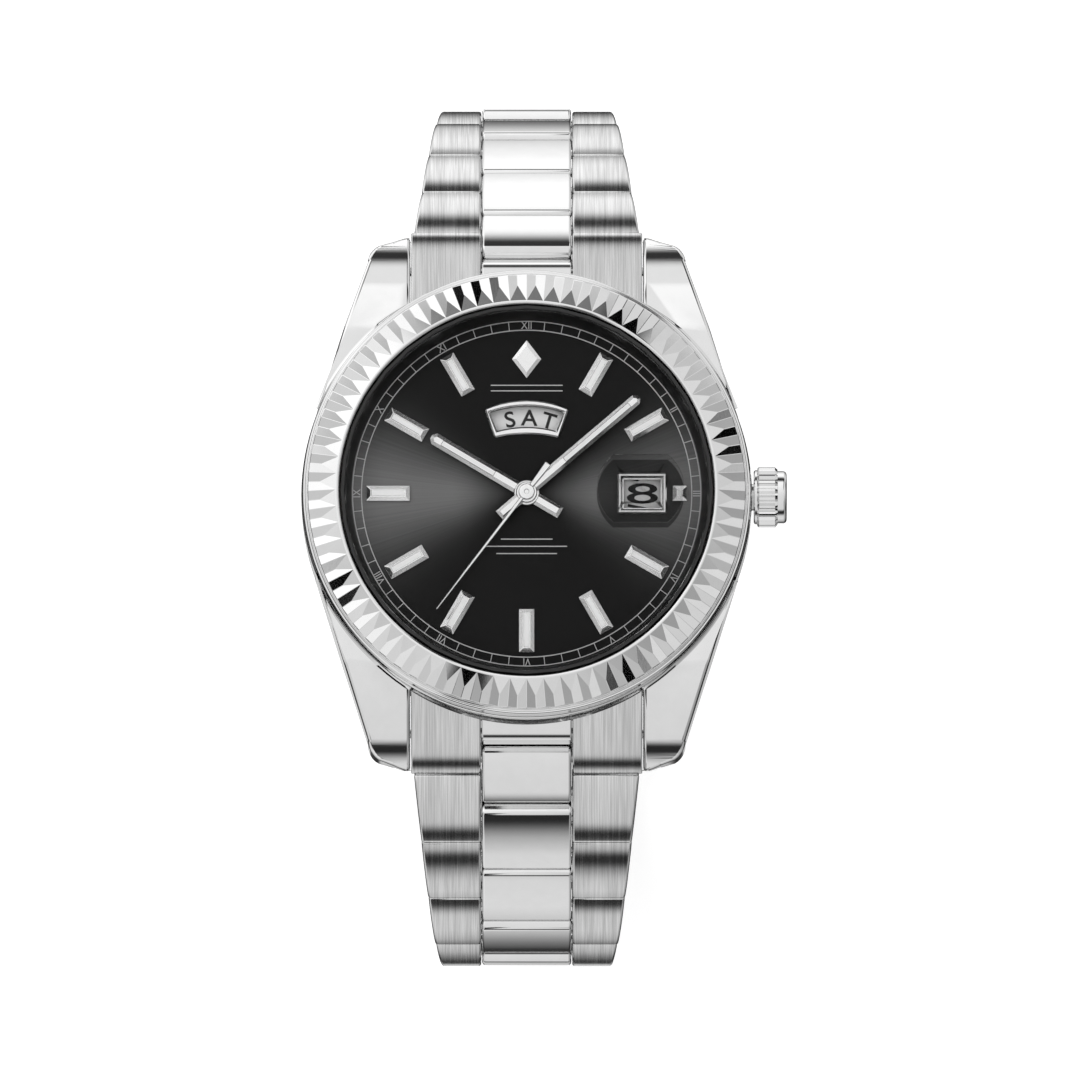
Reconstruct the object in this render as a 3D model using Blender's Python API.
# Wristwatch with a fluted bezel, a day and date dial and a three-piece link bracelet.
# The closed bracelet stands on its clasp with the dial facing up (+Z), 12 o'clock to +Y and the crown to +X.
# Lengths are in millimetres and are turned into metres where a mesh is made.
import math

import bmesh
import bpy

MM = 0.001

# Case and bezel
BEZEL_RADIUS = 20.0
BEZEL_BORE = 16.65
BEZEL_BOTTOM = -0.6
FLUTES = 72
FLUTE_INNER = 17.0
FLUTE_OUTER = 19.55
FLUTE_DEPTH = 0.42
BARREL_RADIUS = 20.1
BARREL_TOP = -0.65
BARREL_BOTTOM = -7.0
CASE_BORE = 17.0
LUG_GAP = 20.8
LUG_TIP_Y = 23.95
LUG_TIP_Z = -5.4
LUG_BOTTOM = -9.0
LUG_SLOPE = 28.0
CASE_BACK_FACE = -8.0
BACK_SPIGOT_RADIUS = 16.6
BACK_SPIGOT_TOP = -6.3
CASE_BACK_RADIUS = 17.6

# Dial, discs and crystal, with the top of the dial at zero
DIAL_RADIUS = 16.4
DIAL_THICKNESS = 0.4
FLANGE_INNER = 15.65
FLANGE_TOP = 1.75
CRYSTAL_RADIUS = 16.2
CRYSTAL_BOTTOM = 1.85
CRYSTAL_TOP = 3.15
CYCLOPS_X = 10.15
CYCLOPS_RADIUS = 3.9
CYCLOPS_HALF_HEIGHT = 3.05
DATE_X = 10.3
DATE_OPENING = (3.56, 2.85)
DATE_BORDER = 0.42
# Day window: half width, side height and middle height of its upper and lower edges
DAY_OPENING = ((3.33, 7.3, 7.87), (2.65, 5.6, 5.97))
DAY_FRAME = ((3.75, 7.59, 8.38), (2.88, 5.0, 5.33))
FRAME_HEIGHT = 0.33
DISC_TOP = -0.7
DISC_THICKNESS = 0.2
DISC_SPLIT = 8.2
MARKER_RADIUS = 12.35
MARKER_LENGTH = 3.9
MARKER_WIDTH = 1.4
MARKER_HEIGHT = 0.45

# Hands: length, tail, width, underside, clockwise angle from 12 o'clock
HAND_THICKNESS = 0.25
HOUR_HAND = (9.9, 3.5, 1.1, 0.35, 300.7)
MINUTE_HAND = (13.2, 3.2, 1.0, 0.75, 49.4)
SECOND_HAND = (13.3, 3.2, 0.3, 1.15, 217.2)

# Crown and stem, along +X
STEM_Z = -2.4
CROWN_RADIUS = 2.7
CROWN_FLUTES = 22
CROWN_START = 20.45
CROWN_SHOULDER = 22.4
CROWN_END = 23.2
TUBE_RADIUS = 1.2
TUBE_BORE = 0.8

# Movement
PLATE_RADIUS = 13.2
PLATE_TOP = -1.1
PLATE_BOTTOM = -3.3
BATTERY_AT = (-4.8, -5.9)
ROTOR_AT = (5.6, 6.2)
THIRD_WHEEL_AT = (4.4, -2.2)

# Bracelet: every row is one centre link, two outer links and their pins
LINK_HALF_THICKNESS = 1.3
LINK_REACH = 2.08
FIRST_REACH = 1.4
LINK_CLEARANCE = 0.12
PITCH = 7.1
FIRST_PITCH = 5.9
CENTRE_WIDTH = 8.0
SIDE_GAP = 0.2
PIN_RADIUS = 0.4
PIN_HOLE_RADIUS = 0.47
WIDTH_AT_CASE = 20.4
WIDTH_AT_CLASP = 15.5
TAPER_ROWS = 4
ARC_STEPS = 4
PIN_STEPS = 8
FIRST_HINGE = (22.9, -6.4)
# Direction of each row below the dial plane, from the case to the clasp, in degrees
ROW_ANGLES = {
    "12": (46, 52, 57, 70.2, 96.4, 120, 142, 160),
    "6": (29, 51, 60, 78.2, 100.3, 120.8, 141.8, 160),
}
CUT_ROW_END = 0.6
REST_CLEARANCE = 0.25

# Folding clasp
COVER_HALF_WIDTH = 9.1
COVER_WALL = 0.8
COVER_FLOOR = 1.5
COVER_HEIGHT = 4.0
COVER_END_6 = -16.6
BLADE_HALF_WIDTH = 6.9
BLADE_THICKNESS = 0.8
BLADE_GAP = 0.2
CLASP_GAP = 0.5
FOLD_PIVOT_Y = 16.5
FOLD_KNUCKLE = 0.9
FOLD_KNUCKLE_HALF_WIDTH = 2.45
COVER_PIVOT_Y = -15.6
COVER_KNUCKLE = 0.58
CLASP_PIN_RADIUS = 0.35
CLASP_HOLE_RADIUS = 0.42
BUTTON_Y = 7.0
BUTTON_HALF_LENGTH = 2.5
BUTTON_HALF_HEIGHT = 0.8
BUTTON_Z = 2.75
BUTTON_PROUD = 0.6
BUTTON_FLANGE = 0.35

# Spring bars in the lugs
SPRING_BAR_Y = 20.85
SPRING_BAR_Z = -5.85
SPRING_BAR_RADIUS = 0.4
SPRING_BAR_HOLE = 0.46

# Roundness
CASE_STEPS = 54
VISIBLE_STEPS = 54
HIDDEN_STEPS = 36


# ---------------------------------------------------------------- materials

def make_material(name, colour, roughness, metallic):
    material = bpy.data.materials.new(name)
    material.use_nodes = True
    shader = material.node_tree.nodes["Principled BSDF"]
    shader.inputs["Base Color"].default_value = (*colour, 1.0)
    shader.inputs["Roughness"].default_value = roughness
    shader.inputs["Metallic"].default_value = metallic
    return material


# ---------------------------------------------------------------- mesh helpers

def add_object(name, mesh_data, material=None):
    """Turn a bmesh in millimetres into an object in metres."""
    bmesh.ops.recalc_face_normals(mesh_data, faces=mesh_data.faces)
    bmesh.ops.scale(mesh_data, vec=(MM, MM, MM), verts=mesh_data.verts)
    mesh = bpy.data.meshes.new(name)
    mesh_data.to_mesh(mesh)
    mesh_data.free()
    piece = bpy.data.objects.new(name, mesh)
    bpy.context.collection.objects.link(piece)
    if material is not None:
        mesh.materials.append(material)
    return piece


def prism(name, outline, axis, low, high, material=None):
    """Extrude a closed outline along an axis. Outlines are (Y, Z), (X, Z) or (X, Y)."""
    order = {"X": (2, 0, 1), "Y": (0, 2, 1), "Z": (0, 1, 2)}[axis]
    shape = bmesh.new()
    rings = []
    for level in (low, high):
        ring = []
        for u, v in outline:
            values = (u, v, level)
            ring.append(shape.verts.new([values[index] for index in order]))
        rings.append(ring)
    shape.faces.new(rings[0])
    shape.faces.new(rings[1])
    count = len(outline)
    for index in range(count):
        following = (index + 1) % count
        shape.faces.new((rings[0][index], rings[0][following], rings[1][following], rings[1][index]))
    return add_object(name, shape, material)


def box(name, low, high, material=None):
    outline = [(low[0], low[1]), (high[0], low[1]), (high[0], high[1]), (low[0], high[1])]
    return prism(name, outline, "Z", low[2], high[2], material)


def turned(name, profile, steps, material=None, axis="Z", closed=True):
    """Spin a profile of (radius, height) round an axis. A radius of zero is a point on the axis."""
    shape = bmesh.new()
    rings = []
    for radius, height in profile:
        ring = []
        for step in range(steps if radius > 0 else 1):
            angle = 2 * math.pi * step / steps
            u = radius * math.cos(angle)
            v = radius * math.sin(angle)
            ring.append(shape.verts.new((u, v, height) if axis == "Z" else (height, u, v)))
        rings.append(ring)
    pairs = list(zip(rings, rings[1:]))
    if closed:
        pairs.append((rings[-1], rings[0]))
    for first, second in pairs:
        for step in range(steps):
            following = (step + 1) % steps
            corners = [first[step % len(first)], first[following % len(first)]]
            corners += [second[following % len(second)], second[step % len(second)]]
            distinct = list(dict.fromkeys(corners))
            if len(distinct) > 2:
                shape.faces.new(distinct)
    return add_object(name, shape, material)


def ring(name, inner, outer, low, high, steps, material=None):
    profile = [(inner, low), (outer, low), (outer, high), (inner, high)]
    return turned(name, profile, steps, material)


def disc(name, radius, low, high, steps, material=None, axis="Z"):
    profile = [(0, low), (radius, low), (radius, high), (0, high)]
    return turned(name, profile, steps, material, axis, closed=False)


def rod(name, radius, centre, low, high, steps=12, material=None):
    """A rod along X, centred on (Y, Z)."""
    outline = []
    for step in range(steps):
        angle = 2 * math.pi * (step + 0.5) / steps
        outline.append((centre[0] + radius * math.cos(angle), centre[1] + radius * math.sin(angle)))
    return prism(name, outline, "X", low, high, material)


def combine(target, tool, operation):
    """Apply an exact Boolean and remove the tool."""
    modifier = target.modifiers.new(operation.title(), "BOOLEAN")
    modifier.operation = operation
    modifier.solver = "EXACT"
    modifier.object = tool
    bpy.context.view_layer.objects.active = target
    bpy.context.view_layer.update()
    bpy.ops.object.modifier_apply(modifier=modifier.name)
    bpy.data.objects.remove(tool)


def unite(target, *tools):
    for tool in tools:
        combine(target, tool, "UNION")
    return target


def cut(target, *tools):
    for tool in tools:
        combine(target, tool, "DIFFERENCE")
    return target


def place(piece, location=(0, 0, 0), rotation=(0, 0, 0)):
    piece.location = [value * MM for value in location]
    piece.rotation_euler = rotation
    return piece


def arc(centre, radius, start, end, steps):
    """Points on an arc, with angles in degrees, both ends included."""
    points = []
    for step in range(steps + 1):
        angle = math.radians(start + (end - start) * step / steps)
        points.append((centre[0] + radius * math.cos(angle), centre[1] + radius * math.sin(angle)))
    return points


# ---------------------------------------------------------------- bracelet frame

def hinge_points(side):
    """Hinge centres of a bracelet half as (distance from the dial axis, height over the dial)."""
    points = [FIRST_HINGE]
    for index, angle in enumerate(ROW_ANGLES[side]):
        length = FIRST_PITCH if index == 0 else PITCH
        away, height = points[-1]
        away += length * math.cos(math.radians(angle))
        height -= length * math.sin(math.radians(angle))
        points.append((away, height))
    return points


def surface_point(hinge, angle, along, out):
    """A point of a row, measured along it from its hinge and outward from its middle."""
    turn = math.radians(angle)
    away = hinge[0] + along * math.cos(turn) + out * math.sin(turn)
    height = hinge[1] - along * math.sin(turn) + out * math.cos(turn)
    return away, height


HINGES = {side: hinge_points(side) for side in ROW_ANGLES}
LAST_12 = surface_point(HINGES["12"][-1], ROW_ANGLES["12"][-1], CUT_ROW_END, LINK_HALF_THICKNESS)
LAST_6 = surface_point(HINGES["6"][-1], ROW_ANGLES["6"][-1], LINK_REACH, LINK_HALF_THICKNESS)
DIAL_HEIGHT = REST_CLEARANCE - min(LAST_12[1], LAST_6[1])
CUT_CORNER_12 = surface_point(HINGES["12"][-1], ROW_ANGLES["12"][-1], CUT_ROW_END, -LINK_HALF_THICKNESS)
COVER_EDGE_12 = CUT_CORNER_12[0] - CLASP_GAP
HEAD = (0, 0, DIAL_HEIGHT)


def on_head(offset):
    """A place given from the centre of the dial's top."""
    return offset[0], offset[1], DIAL_HEIGHT + (offset[2] if len(offset) > 2 else 0)


TONGUE_Y = -HINGES["6"][-1][0]
TONGUE_Z = HINGES["6"][-1][1] + DIAL_HEIGHT


def half_width(rows_from_case):
    """Half the bracelet's width after a number of rows, which may be a fraction."""
    share = min(rows_from_case / TAPER_ROWS, 1.0)
    return (WIDTH_AT_CASE + (WIDTH_AT_CLASP - WIDTH_AT_CASE) * share) / 2


# ---------------------------------------------------------------- case

def lug_line(distance):
    """Height of the lugs' and end links' sloping top at a distance from the dial axis."""
    return LUG_TIP_Z + (LUG_TIP_Y - distance) * math.tan(math.radians(LUG_SLOPE))


def make_case(steel):
    side = [(18.9, 6.8), (13.9, 22.2), (12.6, 23.3), (11.6, LUG_TIP_Y), (9.0, LUG_TIP_Y)]
    plan = [(BARREL_RADIUS - 0.25, 0)] + side
    plan += [(-x, y) for x, y in reversed(side)] + [(0.25 - BARREL_RADIUS, 0)]
    plan += [(-x, -y) for x, y in side] + [(x, -y) for x, y in reversed(side)]
    case = prism("case_body", plan, "Z", LUG_BOTTOM - 1, 1, steel)
    half = [(15.3, lug_line(15.3)), (19.5, lug_line(19.55)), (LUG_TIP_Y + 0.1, LUG_TIP_Z - 0.1)]
    half += [(LUG_TIP_Y + 0.1, LUG_BOTTOM + 1.2), (22.6, LUG_BOTTOM), (20.6, LUG_BOTTOM)]
    half += [(17.0, BARREL_BOTTOM - 0.6)]
    outline = half + [(-y, z) for y, z in reversed(half)]
    combine(case, prism("case_envelope", outline, "X", -30, 30), "INTERSECT")
    for sign in (1, -1):
        low, high = sorted((sign * 15.0, sign * 30.0))
        cut(case, box("lug_gap", (-LUG_GAP / 2, low, -20), (LUG_GAP / 2, high, 5)))
    profile = [(0, BARREL_BOTTOM), (BARREL_RADIUS - 0.8, BARREL_BOTTOM), (BARREL_RADIUS, BARREL_BOTTOM + 0.8),
               (BARREL_RADIUS, BARREL_TOP), (0, BARREL_TOP)]
    unite(case, turned("barrel", profile, CASE_STEPS, closed=False))
    cut(case, disc("case_bore", CASE_BORE, -20, 5, CASE_STEPS))
    cut(case, disc("back_seat", CASE_BACK_RADIUS + 0.1, -20, BARREL_BOTTOM + 0.02, CASE_STEPS))
    cut(case, rod("tube_hole", TUBE_RADIUS + 0.06, (0, STEM_Z), 15.0, 25.0, 16))
    for sign in (1, -1):
        centre = (sign * SPRING_BAR_Y, SPRING_BAR_Z)
        cut(case, rod("bar_hole", SPRING_BAR_HOLE, centre, -11.9, 11.9, 10))
    return place(case, HEAD)


def make_bezel(steel):
    """A fluted ring: ridges run out from the inner lip, and the valleys between them start in a facet."""
    shape = bmesh.new()

    def circle(radius, height, offset=0.0):
        points = []
        for step in range(FLUTES):
            angle = 2 * math.pi * (step + offset) / FLUTES
            points.append(shape.verts.new((radius * math.cos(angle), radius * math.sin(angle), height)))
        return points

    ridge_in = circle(FLUTE_INNER, 2.75)
    valley_in = circle(FLUTE_INNER + 0.75, 2.75 - FLUTE_DEPTH - 0.3, 0.5)
    ridge_out = circle(FLUTE_OUTER, 1.75)
    valley_out = circle(FLUTE_OUTER + 0.05, 1.75 - FLUTE_DEPTH, 0.5)
    rim_top = circle(BEZEL_RADIUS - 0.12, 1.15)
    rim_side = circle(BEZEL_RADIUS, 1.0)
    rim_bottom = circle(BEZEL_RADIUS, BEZEL_BOTTOM)
    bore_bottom = circle(BEZEL_BORE, BEZEL_BOTTOM)
    bore_top = circle(BEZEL_BORE, 2.6)
    for step in range(FLUTES):
        after = (step + 1) % FLUTES
        shape.faces.new((ridge_in[step], ridge_in[after], valley_in[step]))
        shape.faces.new((ridge_in[step], valley_in[step], valley_out[step], ridge_out[step]))
        shape.faces.new((ridge_in[after], ridge_out[after], valley_out[step], valley_in[step]))
        shape.faces.new((ridge_out[step], valley_out[step], rim_top[step]))
        shape.faces.new((valley_out[step], ridge_out[after], rim_top[after]))
        shape.faces.new((valley_out[step], rim_top[after], rim_top[step]))
        for first, second in ((rim_top, rim_side), (rim_side, rim_bottom), (rim_bottom, bore_bottom),
                              (bore_bottom, bore_top), (bore_top, ridge_in)):
            shape.faces.new((first[step], first[after], second[after], second[step]))
    return place(add_object("bezel", shape, steel), HEAD)


def make_case_back(steel, rubber):
    seat = BARREL_BOTTOM - 0.05
    profile = [(0, CASE_BACK_FACE), (CASE_BACK_RADIUS - 0.5, CASE_BACK_FACE),
               (CASE_BACK_RADIUS, CASE_BACK_FACE + 0.5), (CASE_BACK_RADIUS, seat),
               (BACK_SPIGOT_RADIUS, seat), (BACK_SPIGOT_RADIUS, BACK_SPIGOT_TOP), (0, BACK_SPIGOT_TOP)]
    place(turned("case_back", profile, VISIBLE_STEPS, steel, closed=False), HEAD)
    place(ring("case_back_gasket", 16.72, 16.92, -6.9, -6.4, HIDDEN_STEPS, rubber), HEAD)


def make_glass(glass, rubber, black):
    profile = [(0, CRYSTAL_BOTTOM), (CRYSTAL_RADIUS, CRYSTAL_BOTTOM), (CRYSTAL_RADIUS, CRYSTAL_TOP - 0.15),
               (CRYSTAL_RADIUS - 0.15, CRYSTAL_TOP), (0, CRYSTAL_TOP)]
    place(turned("crystal", profile, VISIBLE_STEPS, glass, closed=False), HEAD)
    place(ring("crystal_gasket", 16.3, 16.57, CRYSTAL_BOTTOM, 2.7, HIDDEN_STEPS, rubber), HEAD)
    profile = [(FLANGE_INNER, 0.05), (16.5, 0.05), (16.5, FLANGE_TOP), (16.25, FLANGE_TOP)]
    place(turned("flange_ring", profile, VISIBLE_STEPS, black), HEAD)
    lens = prism("cyclops_lens", lens_outline(1.0), "Z", CRYSTAL_TOP + 0.03, CRYSTAL_TOP + 0.65, glass)
    top = CRYSTAL_TOP * MM + 0.5 * MM
    for vertex in lens.data.vertices:
        if vertex.co.z > top:
            vertex.co.x = CYCLOPS_X * MM + (vertex.co.x - CYCLOPS_X * MM) * 0.86
            vertex.co.y *= 0.86
    place(lens, HEAD)


def lens_outline(scale):
    """A round lens with its two ends toward 12 and 6 cut flat."""
    flat = math.degrees(math.asin(CYCLOPS_HALF_HEIGHT / CYCLOPS_RADIUS))
    right = arc((0, 0), CYCLOPS_RADIUS, -flat, flat, 8)
    left = arc((0, 0), CYCLOPS_RADIUS, 180 - flat, 180 + flat, 8)
    return [(CYCLOPS_X + x * scale, y * scale) for x, y in right + left]


# ---------------------------------------------------------------- dial and hands

def bowed(half, side, middle, steps=6):
    """A bowed edge from right to left, given its half width and its heights at the side and middle."""
    rise = middle - side
    radius = (half * half + rise * rise) / (2 * rise)
    spread = math.degrees(math.asin(half / radius))
    return arc((0, middle - radius), radius, 90 - spread, 90 + spread, steps)


def day_outline(edges):
    upper, lower = edges
    return bowed(*upper) + list(reversed(bowed(*lower)))


def frame_outline(border):
    half_x = DATE_OPENING[0] / 2 + border
    half_y = DATE_OPENING[1] / 2 + border
    low_x, high_x = DATE_X - half_x, DATE_X + half_x
    return [(low_x, -half_y), (high_x, -half_y), (high_x, half_y), (low_x, half_y)]


def make_dial(black, steel):
    dial = disc("dial", DIAL_RADIUS, -DIAL_THICKNESS, 0, VISIBLE_STEPS, black)
    cut(dial, disc("centre_hole", 0.95, -2, 2, 20))
    cut(dial, prism("day_window", day_outline(DAY_OPENING), "Z", -2, 2))
    cut(dial, prism("date_window", frame_outline(0), "Z", -2, 2))
    for hour in (1, 2, 3, 4, 5, 6, 7, 8, 9, 10, 11):
        length = 1.3 if hour == 3 else MARKER_LENGTH
        radius = MARKER_RADIUS + (MARKER_LENGTH - length) / 2 if hour == 3 else MARKER_RADIUS
        unite(dial, marker(hour, radius, length))
    place(dial, HEAD)

    frame = prism("day_frame", day_outline(DAY_FRAME), "Z", 0.03, FRAME_HEIGHT, steel)
    place(cut(frame, prism("opening", day_outline(DAY_OPENING), "Z", -1, 1)), HEAD)
    frame = prism("date_frame", frame_outline(DATE_BORDER), "Z", 0.03, FRAME_HEIGHT, steel)
    place(cut(frame, prism("opening", frame_outline(0), "Z", -1, 1)), HEAD)


def marker(hour, radius, length):
    """A bevelled baton, sunk a little into the dial."""
    turn = math.radians(90 - 30 * hour)
    shape = bmesh.new()
    rings = []
    for inset, height in ((0, -0.1), (0, 0.15), (0.3, MARKER_HEIGHT)):
        corners = []
        for u, v in ((-1, -1), (1, -1), (1, 1), (-1, 1)):
            along = radius + u * (length / 2 - inset)
            across = v * (MARKER_WIDTH / 2 - inset)
            x = along * math.cos(turn) - across * math.sin(turn)
            y = along * math.sin(turn) + across * math.cos(turn)
            corners.append(shape.verts.new((x, y, height)))
        rings.append(corners)
    shape.faces.new(rings[0])
    shape.faces.new(rings[-1])
    for first, second in zip(rings, rings[1:]):
        for index in range(4):
            after = (index + 1) % 4
            shape.faces.new((first[index], first[after], second[after], second[index]))
    return add_object("marker", shape)


def make_discs(white):
    for name, inner, outer in (("day_disc", 1.3, DISC_SPLIT - 0.05), ("date_disc", DISC_SPLIT + 0.05, 12.9)):
        low = DISC_TOP - DISC_THICKNESS
        place(ring(name, inner, outer, low, DISC_TOP, HIDDEN_STEPS, white), HEAD)


def make_hand(name, sizes, hub, pipe, bore, pipe_bottom, steel):
    """A baton hand with a hub and a pipe down the dial axis. It points to 12 before it is turned."""
    length, tail, width, underside, clockwise = sizes
    top = underside + HAND_THICKNESS
    tip = width / 2 if width > 0.5 else 0.1
    outline = [(-width / 2, -tail), (width / 2, -tail), (width / 2, length - 0.3), (tip * 0.7, length),
               (-tip * 0.7, length), (-width / 2, length - 0.3)]
    hand = prism(name, outline, "Z", underside, top, steel)
    unite(hand, disc("hub", hub, underside - 0.03, top + 0.04, 20))
    unite(hand, disc("pipe", pipe, pipe_bottom, underside + 0.1, 14))
    if bore > 0:
        cut(hand, disc("bore", bore, -10, 10, 14))
    return place(hand, HEAD, (0, 0, -math.radians(clockwise)))


# ---------------------------------------------------------------- crown

def make_crown(steel, rubber):
    """The crown turns about the X axis at the stem's height."""
    shape = bmesh.new()
    teeth = CROWN_FLUTES * 2
    levels = [(1.5, 1.5, CROWN_START), (2.45, 2.45, CROWN_START), (CROWN_RADIUS, 2.48, CROWN_START + 0.2),
              (CROWN_RADIUS, 2.48, CROWN_SHOULDER - 0.15), (2.35, 2.35, CROWN_SHOULDER),
              (2.3, 2.3, CROWN_END - 0.3), (1.9, 1.9, CROWN_END)]
    rings = []
    for ridge, valley, x in levels:
        points = []
        for step in range(teeth):
            angle = 2 * math.pi * step / teeth
            radius = ridge if step % 2 == 0 else valley
            points.append(shape.verts.new((x, radius * math.cos(angle), radius * math.sin(angle))))
        rings.append(points)
    floor = []
    for step in range(teeth):
        angle = 2 * math.pi * step / teeth
        floor.append(shape.verts.new((21.9, 1.5 * math.cos(angle), 1.5 * math.sin(angle))))
    rings.insert(0, floor)
    shape.faces.new(rings[0])
    shape.faces.new(rings[-1])
    for first, second in zip(rings, rings[1:]):
        for step in range(teeth):
            after = (step + 1) % teeth
            shape.faces.new((first[step], first[after], second[after], second[step]))
    crown = add_object("crown", shape, steel)
    cut(crown, rod("stem_socket", 0.52, (0, 0), 21.5, 22.5, 12))
    axis = (0, 0, DIAL_HEIGHT + STEM_Z)
    place(crown, axis)
    profile = [(1.24, 21.1), (1.46, 21.1), (1.46, 21.4), (1.24, 21.4)]
    place(turned("crown_gasket", profile, 20, rubber, axis="X"), axis)
    place(rod("winding_stem", 0.45, (0, 0), 5.6, 22.3, 12, steel), axis)
    clutch = [(0.48, 6.2), (0.66, 6.2), (0.66, 7.6), (0.48, 7.6)]
    place(turned("clutch_wheel", clutch, 16, steel, axis="X"), axis)
    clip = box("setting_clip", (8.4, -0.9, -0.66), (8.8, 0.9, 0.66), steel)
    cut(clip, rod("clip_slot", 0.52, (0, 0), 8.0, 9.2, 12))
    place(clip, axis)
    tube = [(TUBE_BORE, 17.3), (TUBE_RADIUS, 17.3), (TUBE_RADIUS, 21.7), (TUBE_BORE, 21.7)]
    place(turned("crown_tube", tube, 16, steel, axis="X"), axis)


# ---------------------------------------------------------------- movement

def gear_outline(teeth, radius, depth, centre=(0, 0)):
    points = []
    for step in range(teeth * 2):
        angle = math.pi * step / teeth
        reach = radius if step % 2 == 0 else radius - depth
        points.append((centre[0] + reach * math.cos(angle), centre[1] + reach * math.sin(angle)))
    return points


def make_movement(steel, brass, copper, board, plastic):
    profile = [(13.5, -4.6), (16.9, -4.6), (16.9, -0.66), (16.5, -0.66), (16.5, -0.45), (13.5, -0.45)]
    holder = turned("movement_holder", profile, HIDDEN_STEPS, plastic)
    cut(holder, rod("stem_way", 0.75, (0, STEM_Z), 12.0, 18.0, 12))
    place(holder, HEAD)

    plate = disc("movement_plate", PLATE_RADIUS, PLATE_BOTTOM, PLATE_TOP, HIDDEN_STEPS, brass)
    cut(plate, disc("centre_hole", 1.0, -10, 10, 16))
    cut(plate, box("keyless_way", (5.0, -1.1, STEM_Z - 0.72), (14.0, 1.1, STEM_Z + 0.72)))
    place(plate, HEAD)

    battery = [(0, -5.1), (3.9, -5.1), (4.0, -3.6), (4.75, -3.5), (4.75, -3.4), (0, -3.4)]
    place(turned("battery", battery, 32, steel, closed=False), on_head(BATTERY_AT))
    clamp = box("battery_clamp", (-5.5, -0.9, -5.4), (5.5, 0.9, -5.2), steel)
    unite(clamp, box("clamp_foot", (5.0, -0.85, -5.3), (5.45, 0.85, PLATE_BOTTOM - 0.05)))
    place(clamp, on_head(BATTERY_AT))

    spool = [(0, -4.6), (1.2, -4.6), (1.2, -4.2), (0.85, -4.2), (0.85, 4.2), (1.2, 4.2), (1.2, 4.6), (0, 4.6)]
    place(turned("coil", spool, 14, copper, axis="X", closed=False), on_head((-2.5, 9.2, -5.0)))
    outline = [(-10.5, 3.0), (1.5, 3.0), (1.5, 5.5), (4.0, 8.0), (4.0, 11.0), (-6.0, 11.0), (-10.5, 6.5)]
    place(prism("circuit_board", outline, "Z", -3.6, -3.4, board), HEAD)

    place(disc("step_rotor", 0.9, -4.6, -3.6, 16, steel), on_head(ROTOR_AT))
    wheel = prism("third_wheel", gear_outline(20, 2.6, 0.35), "Z", -4.5, -4.3, brass)
    unite(wheel, disc("third_arbor", 0.3, -4.7, -3.5, 10))
    place(wheel, on_head(THIRD_WHEEL_AT))
    wheel = prism("fourth_wheel", gear_outline(20, 2.8, 0.35), "Z", -4.0, -3.8, brass)
    unite(wheel, disc("fourth_arbor", 0.5, -4.7, -3.7, 10))
    place(cut(wheel, disc("fourth_bore", 0.3, -4.2, -3.0, 10)), HEAD)

    outline = [(-3.2, -1.5), (8.6, -4.6), (9.6, 3.0), (6.6, 9.0), (4.2, 5.0), (-2.6, 2.2)]
    bridge = prism("train_bridge", outline, "Z", -5.1, -4.85, steel)
    for x, y in ((7.9, -3.6), (6.4, 7.9)):
        unite(bridge, place(disc("pillar", 0.6, -4.95, PLATE_BOTTOM - 0.05, 12), (x, y, 0)))
    place(bridge, HEAD)


# ---------------------------------------------------------------- bracelet

def outer_profile(near, far, pitch):
    """Side view of an outer link: hollow round the near hinge, round at the far hinge."""
    half = LINK_HALF_THICKNESS
    hollow = near + LINK_CLEARANCE
    near_turn = math.degrees(math.asin(half / hollow))
    far_turn = math.degrees(math.asin(half / far))
    points = arc((0, 0), hollow, -near_turn, near_turn, ARC_STEPS)
    return points + arc((pitch, 0), far, far_turn, -far_turn, ARC_STEPS)


def centre_profile(near, far, pitch):
    """Side view of a centre link: round at the near hinge, hollow round the far hinge."""
    half = LINK_HALF_THICKNESS
    hollow = far + LINK_CLEARANCE
    near_turn = math.degrees(math.asin(half / near))
    far_turn = math.degrees(math.asin(half / hollow))
    points = arc((0, 0), near, 180 + near_turn, 180 - near_turn, ARC_STEPS)
    return points + arc((pitch, 0), hollow, 180 - far_turn, 180 + far_turn, ARC_STEPS)


def cut_profile(profile, end):
    """The same side view, ended square at a distance along the row."""
    half = LINK_HALF_THICKNESS
    return profile[:ARC_STEPS + 1] + [(end, half), (end, -half)]


def taper(piece, near_half, far_half, pitch):
    """Narrow a row's outer faces from its near hinge to its far hinge."""
    limit = near_half * MM - 1e-6
    for vertex in piece.data.vertices:
        if abs(vertex.co.x) > limit:
            share = min(max(vertex.co.y / (pitch * MM), 0.0), 1.2)
            width = near_half + (far_half - near_half) * share
            vertex.co.x = math.copysign(width * MM, vertex.co.x)


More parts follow.
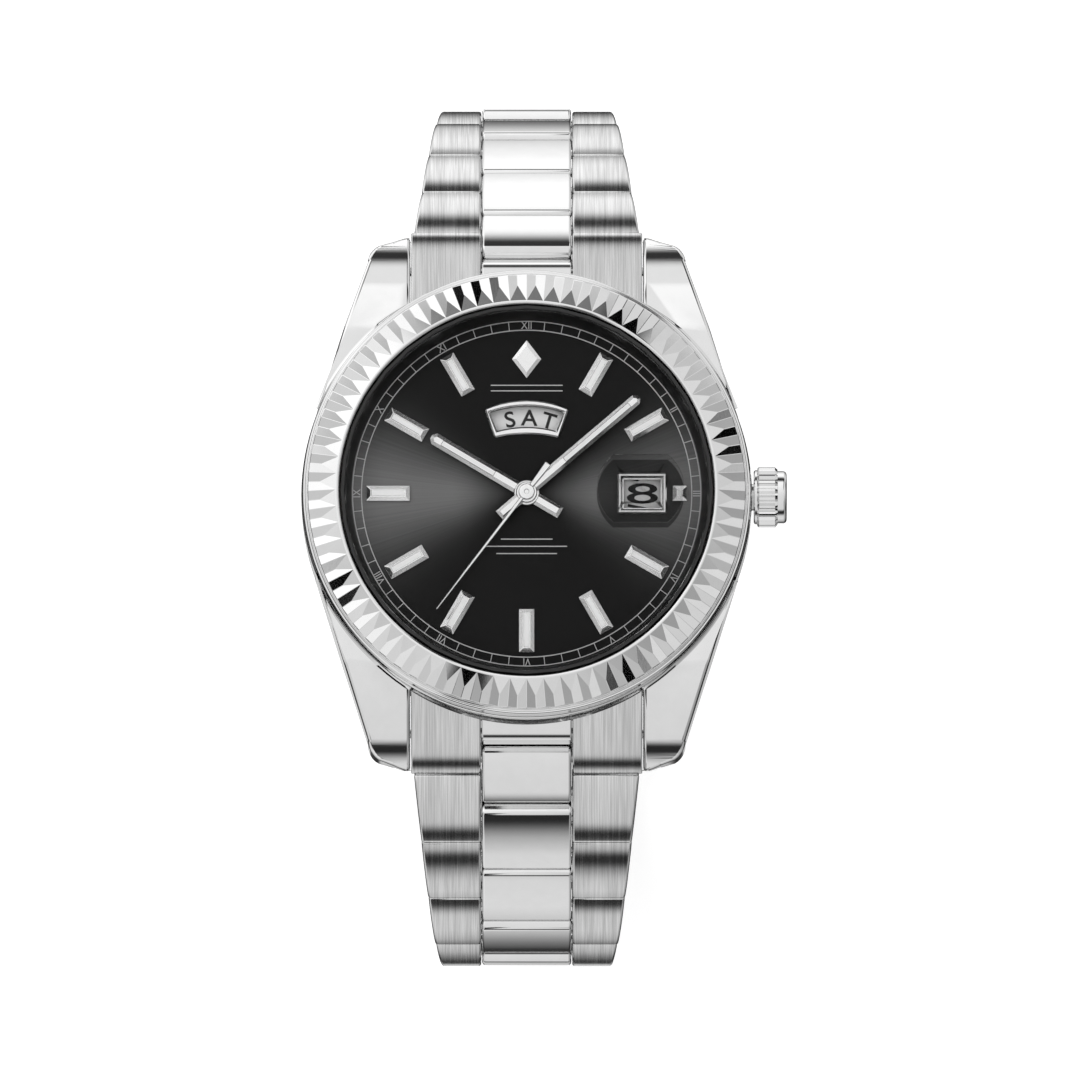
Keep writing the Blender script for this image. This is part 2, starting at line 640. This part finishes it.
def make_row(name, side, index, steel):
    """One row of the bracelet, built along +Y from its hinge and then turned into place."""
    pitch = FIRST_PITCH if index == 0 else PITCH
    near = FIRST_REACH if index == 0 else LINK_REACH
    near_half = half_width(index)
    far_half = half_width(index + 1)
    outer = outer_profile(near, LINK_REACH, pitch)
    centre = centre_profile(near, LINK_REACH, pitch)
    last = side == "12" and index == len(ROW_ANGLES[side]) - 1
    if last:
        outer = cut_profile(outer, pitch + CUT_ROW_END)
        centre = cut_profile(centre, pitch + CUT_ROW_END)
    inner_half = CENTRE_WIDTH / 2
    row = prism(name, centre, "X", -inner_half, inner_half, steel)
    for sign in (1, -1):
        low, high = sorted((sign * (inner_half + SIDE_GAP), sign * near_half))
        link = prism("outer", outer, "X", low, high)
        taper(link, near_half, far_half, pitch)
        if not last:
            cut(link, rod("pin_hole", PIN_HOLE_RADIUS, (pitch, 0), -20, 20, PIN_STEPS))
        unite(row, link)
    held = far_half - 1.2
    unite(row, rod("fixed_pin", 0.5, (pitch * 0.5 + 0.3, 0), -held, held, PIN_STEPS))
    reach = near_half - 0.35
    unite(row, rod("hinge_pin", PIN_RADIUS, (0, 0), -reach, reach, PIN_STEPS))
    away, height = HINGES[side][index]
    sign = 1 if side == "12" else -1
    turn = -math.radians(ROW_ANGLES[side][index])
    return place(row, (0, sign * away, height + DIAL_HEIGHT), (turn, 0, 0 if sign > 0 else math.pi))


def make_end_link(side, steel):
    """The end link fills the space between the lugs, and its ears hold the first row's pin."""
    half = LINK_HALF_THICKNESS
    inner_half = CENTRE_WIDTH / 2
    outer_half = WIDTH_AT_CASE / 2
    hollow = FIRST_REACH + LINK_CLEARANCE
    turn = math.degrees(math.asin(half / hollow))
    body = arc((0, 0), hollow, 180 - turn, 180 + turn, ARC_STEPS)
    body += [(-2.4, -half - 0.1), (-4.0, -half - 1.4), (-8.0, -half - 1.4), (-8.0, half)]
    link = prism("end_link_" + side, body, "X", -outer_half, outer_half, steel)
    ear_turn = math.degrees(math.asin(half / FIRST_REACH))
    ear = [(-2.2, half)] + arc((0, 0), FIRST_REACH, ear_turn, -ear_turn, ARC_STEPS) + [(-2.2, -half)]
    for sign in (1, -1):
        low, high = sorted((sign * (inner_half + SIDE_GAP), sign * outer_half))
        unite(link, prism("ear", ear, "X", low, high))
    cut(link, rod("pin_hole", PIN_HOLE_RADIUS, (0, 0), -20, 20, PIN_STEPS))
    away, height = FIRST_HINGE
    sign = 1 if side == "12" else -1
    place(link, (0, sign * away, height), (-math.radians(LUG_SLOPE), 0, 0 if sign > 0 else math.pi))
    cut(link, disc("barrel_clearance", BARREL_RADIUS + 0.2, -20, 5, CASE_STEPS))
    bar = (sign * SPRING_BAR_Y, SPRING_BAR_Z)
    cut(link, rod("bar_hole", SPRING_BAR_HOLE, bar, -15, 15, 10))
    link.location.z += DIAL_HEIGHT * MM
    bar = (bar[0], bar[1] + DIAL_HEIGHT)
    return rod("spring_bar_" + side, SPRING_BAR_RADIUS, bar, -11.6, 11.6, 10, steel)


# ---------------------------------------------------------------- clasp

def notched_outline(half, low, high, notch_half, notch, tab):
    """A plate seen from above with the middle of its far end standing out or cut back."""
    deep = high - notch
    if tab:
        return [(-half, low), (half, low), (half, deep), (notch_half, deep), (notch_half, high),
                (-notch_half, high), (-notch_half, deep), (-half, deep)]
    return [(-half, low), (half, low), (half, high), (notch_half, high), (notch_half, deep),
            (-notch_half, deep), (-notch_half, high), (-half, high)]


def make_clasp(steel):
    top = TONGUE_Z + LINK_HALF_THICKNESS
    inner_low = top - BLADE_THICKNESS
    outer_high = inner_low - BLADE_GAP
    outer_low = outer_high - BLADE_THICKNESS
    fold_z = top - FOLD_KNUCKLE
    cover_z = outer_high - COVER_KNUCKLE + 0.1
    side_half = FOLD_KNUCKLE_HALF_WIDTH + 0.2

    # The inner blade ends in a tongue between the last row's outer links.
    inner_near = TONGUE_Y + 2.5
    outline = notched_outline(BLADE_HALF_WIDTH, inner_near, FOLD_PIVOT_Y, FOLD_KNUCKLE_HALF_WIDTH, 1.15, True)
    inner = prism("fold_blade_inner", outline, "Z", inner_low, top, steel)
    round_half = math.degrees(math.asin(LINK_HALF_THICKNESS / LINK_REACH))
    tongue = arc((TONGUE_Y, TONGUE_Z), LINK_REACH, 180 + round_half, 180 - round_half, ARC_STEPS)
    tongue += [(inner_near + 0.3, top - 0.05), (inner_near + 0.3, inner_low + 0.1),
               (inner_near, TONGUE_Z - LINK_HALF_THICKNESS)]
    unite(inner, prism("tongue", tongue, "X", -CENTRE_WIDTH / 2, CENTRE_WIDTH / 2))
    knuckle = rod("knuckle", FOLD_KNUCKLE, (FOLD_PIVOT_Y, fold_z), -FOLD_KNUCKLE_HALF_WIDTH,
                  FOLD_KNUCKLE_HALF_WIDTH, 16)
    unite(inner, knuckle)
    cut(inner, rod("pin_hole", CLASP_HOLE_RADIUS, (FOLD_PIVOT_Y, fold_z), -20, 20, 10))
    reach = half_width(TAPER_ROWS) - 0.35
    unite(inner, rod("tongue_pin", PIN_RADIUS, (TONGUE_Y, TONGUE_Z), -reach, reach, PIN_STEPS))
    hinge_at(inner, (0, TONGUE_Y, TONGUE_Z))

    outline = notched_outline(BLADE_HALF_WIDTH, COVER_PIVOT_Y, FOLD_PIVOT_Y, side_half, 1.15, False)
    outer = prism("fold_blade_outer", outline, "Z", outer_low, outer_high, steel)
    for sign in (1, -1):
        low, high = sorted((sign * side_half, sign * BLADE_HALF_WIDTH))
        unite(outer, rod("knuckle", FOLD_KNUCKLE, (FOLD_PIVOT_Y, fold_z), low, high, 16))
    low, high = -BLADE_HALF_WIDTH, BLADE_HALF_WIDTH
    unite(outer, rod("knuckle", COVER_KNUCKLE, (COVER_PIVOT_Y, cover_z), low, high, 16))
    cut(outer, rod("pin_hole", CLASP_HOLE_RADIUS, (FOLD_PIVOT_Y, fold_z), -20, 20, 10))
    cut(outer, rod("pin_hole", CLASP_HOLE_RADIUS, (COVER_PIVOT_Y, cover_z), -20, 20, 10))
    hinge_at(outer, (0, FOLD_PIVOT_Y, fold_z))
    pin_reach = BLADE_HALF_WIDTH - 0.1
    rod("fold_pin", CLASP_PIN_RADIUS, (FOLD_PIVOT_Y, fold_z), -pin_reach, pin_reach, 10, steel)

    half = COVER_HALF_WIDTH
    inside = half - COVER_WALL
    section = [(-half + 0.6, 0), (half - 0.6, 0), (half, 0.6), (half, COVER_HEIGHT), (inside, COVER_HEIGHT),
               (inside, COVER_FLOOR), (-inside, COVER_FLOOR), (-inside, COVER_HEIGHT), (-half, COVER_HEIGHT),
               (-half, 0.6)]
    cover = prism("clasp_cover", section, "Y", COVER_END_6, COVER_EDGE_12, steel)
    bar = (COVER_EDGE_12 - 1.3, 2.75)
    hole_reach = COVER_HALF_WIDTH - 0.15
    bar_reach = hole_reach - 0.1
    cut(cover, rod("pin_hole", CLASP_HOLE_RADIUS, (COVER_PIVOT_Y, cover_z), -hole_reach, hole_reach, 10))
    cut(cover, rod("bar_hole", CLASP_HOLE_RADIUS, bar, -hole_reach, hole_reach, 10))
    half_y = BUTTON_HALF_LENGTH + 0.06
    half_z = BUTTON_HALF_HEIGHT + 0.06
    low = (-20, BUTTON_Y - half_y, BUTTON_Z - half_z)
    high = (20, BUTTON_Y + half_y, BUTTON_Z + half_z)
    cut(cover, box("button_window", low, high))
    hinge_at(cover, (0, COVER_PIVOT_Y, cover_z))
    rod("cover_pin", CLASP_PIN_RADIUS, (COVER_PIVOT_Y, cover_z), -bar_reach, bar_reach, 10, steel)
    rod("clasp_spring_bar", CLASP_PIN_RADIUS, bar, -bar_reach, bar_reach, 10, steel)

    for name, sign in (("clasp_button_right", 1), ("clasp_button_left", -1)):
        half_y = BUTTON_HALF_LENGTH
        half_z = BUTTON_HALF_HEIGHT
        flange = BUTTON_FLANGE
        section = [(inside - 0.6, half_y + flange), (inside - 0.15, half_y + flange), (inside - 0.15, half_y),
                   (half + BUTTON_PROUD - 0.2, half_y), (half + BUTTON_PROUD, half_y - 0.3)]
        outline = section + [(x, -y) for x, y in reversed(section)]
        outline = [(sign * x, BUTTON_Y + y) for x, y in outline]
        prism(name, outline, "Z", BUTTON_Z - half_z, BUTTON_Z + half_z, steel)


def hinge_at(piece, point):
    """Move a piece's origin to its joint without moving its shape."""
    for vertex in piece.data.vertices:
        for axis in range(3):
            vertex.co[axis] -= point[axis] * MM
    piece.location = [value * MM for value in point]


# ---------------------------------------------------------------- watch

def build_watch():
    for old in list(bpy.data.objects):
        bpy.data.objects.remove(old)
    steel = make_material("steel", (0.62, 0.62, 0.63), 0.2, 1.0)
    brass = make_material("brass", (0.7, 0.55, 0.3), 0.35, 1.0)
    copper = make_material("copper_wire", (0.6, 0.28, 0.14), 0.4, 1.0)
    black = make_material("dial_black", (0.01, 0.01, 0.012), 0.3, 0.6)
    white = make_material("disc_white", (0.8, 0.8, 0.78), 0.5, 0.0)
    rubber = make_material("gasket", (0.02, 0.02, 0.02), 0.7, 0.0)
    plastic = make_material("holder_plastic", (0.75, 0.75, 0.72), 0.5, 0.0)
    board = make_material("circuit_green", (0.03, 0.16, 0.08), 0.4, 0.0)
    glass = make_material("glass", (0.9, 0.93, 0.95), 0.02, 0.0)

    make_case(steel)
    make_bezel(steel)
    make_case_back(steel, rubber)
    make_glass(glass, rubber, black)
    make_dial(black, steel)
    make_discs(white)
    make_hand("hour_hand", HOUR_HAND, 1.15, 0.8, 0.62, -1.0, steel)
    make_hand("minute_hand", MINUTE_HAND, 0.95, 0.54, 0.36, -1.05, steel)
    make_hand("second_hand", SECOND_HAND, 0.7, 0.26, 0, -3.5, steel)
    make_crown(steel, rubber)
    make_movement(steel, brass, copper, board, plastic)
    for side in ROW_ANGLES:
        make_end_link(side, steel)
        for index in range(len(ROW_ANGLES[side])):
            make_row("link_row_%s_%d" % (side, index + 1), side, index, steel)
    make_clasp(steel)


build_watch()
